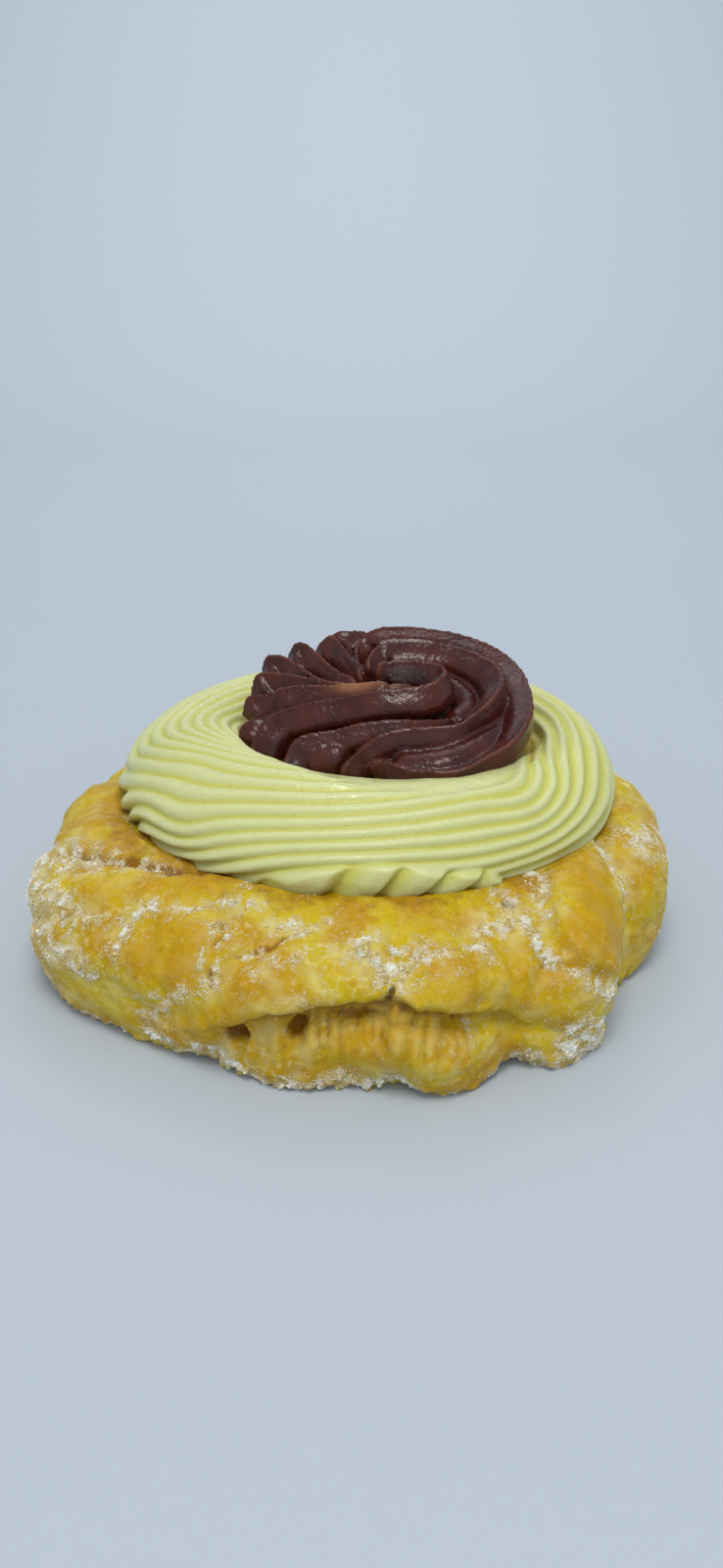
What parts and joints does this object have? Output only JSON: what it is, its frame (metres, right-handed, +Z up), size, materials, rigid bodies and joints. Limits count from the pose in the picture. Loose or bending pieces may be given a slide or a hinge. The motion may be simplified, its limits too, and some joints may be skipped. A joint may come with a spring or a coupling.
{
  "type": "zeppola",
  "caption": "Round fried choux bun with folded, sugared crust, a ridged swirl of custard piped on top and a chocolate rosette in its middle.",
  "frame": {"origin": "middle of the flat underside of the bun", "axes": "+Z up through the rosette, -Y towards the side that the picture shows, +X to the right of it"},
  "size_m": [0.1049, 0.108, 0.0454],
  "materials": {
    "fried_crust": "golden fried crust dusted with sugar, satin with fine grain",
    "custard": "smooth pale yellow custard, soft satin",
    "chocolate_cream": "dark chocolate cream, satin with small highlights"
  },
  "bodies": {
    "root": {"pastry": "fried_crust", "custard_swirl": "custard", "chocolate_rosette": "chocolate_cream"}
  },
  "joints": []
}
